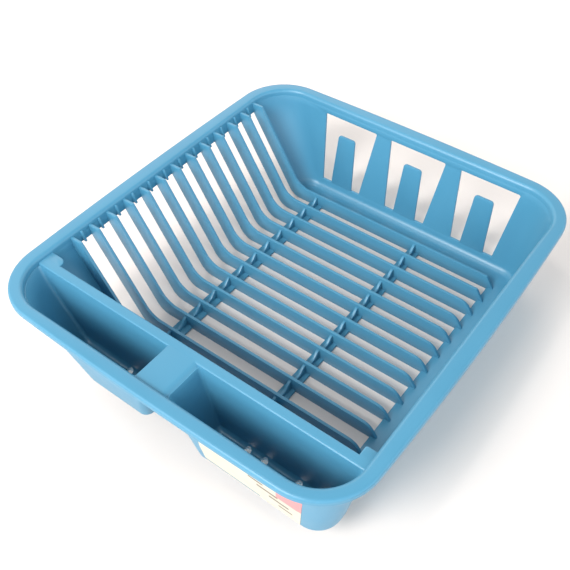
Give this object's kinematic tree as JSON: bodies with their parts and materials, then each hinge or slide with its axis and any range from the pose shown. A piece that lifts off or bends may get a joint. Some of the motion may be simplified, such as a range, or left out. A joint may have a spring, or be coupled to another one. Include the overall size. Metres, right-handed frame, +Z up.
{
  "type": "bottle drying rack",
  "caption": "Shallow moulded drainer with a slatted floor that hooks over one side, windows with prongs at the back and cutlery wells along the front.",
  "frame": {"origin": "on the table under the middle of the rim", "axes": "+Z up; the slats run along X, their sloping ends at -X; +Y from the wells to the windowed back wall"},
  "size_m": [0.3226, 0.3582, 0.09],
  "materials": {
    "body_plastic": "satin blue polypropylene",
    "label_paper": null
  },
  "bodies": {
    "root": {"rim_flange": "body_plastic", "wall_back": "body_plastic", "wall_right": "body_plastic", "wall_left_band": "body_plastic", "wall_left_front": "body_plastic", "corner_back_left": "body_plastic", "corner_back_right": "body_plastic", "floor_ledge_front": "body_plastic", "floor_ledge_back": "body_plastic", "floor_ledge_right": "body_plastic", "divider": "body_plastic", "utensil_well_left": "body_plastic", "utensil_well_right": "body_plastic", "well_bridge": "body_plastic", "crossbar_left": "body_plastic", "crossbar_middle": "body_plastic", "slat_01": "body_plastic", "slat_02": "body_plastic", "slat_03": "body_plastic", "slat_04": "body_plastic", "slat_05": "body_plastic", "slat_06": "body_plastic", "slat_07": "body_plastic", "slat_08": "body_plastic", "slat_09": "body_plastic", "slat_10": "body_plastic", "slat_11": "body_plastic", "slat_12": "body_plastic", "slat_13": "body_plastic", "cup_prong_1": "body_plastic", "cup_prong_2": "body_plastic", "cup_prong_3": "body_plastic", "band_rib_01": "body_plastic", "band_rib_02": "body_plastic", "band_rib_03": "body_plastic", "band_rib_04": "body_plastic", "band_rib_05": "body_plastic", "band_rib_06": "body_plastic", "band_rib_07": "body_plastic", "band_rib_08": "body_plastic", "band_rib_09": "body_plastic", "band_rib_10": "body_plastic", "band_rib_11": "body_plastic", "band_rib_12": "body_plastic", "front_label": "label_paper"}
  },
  "joints": []
}
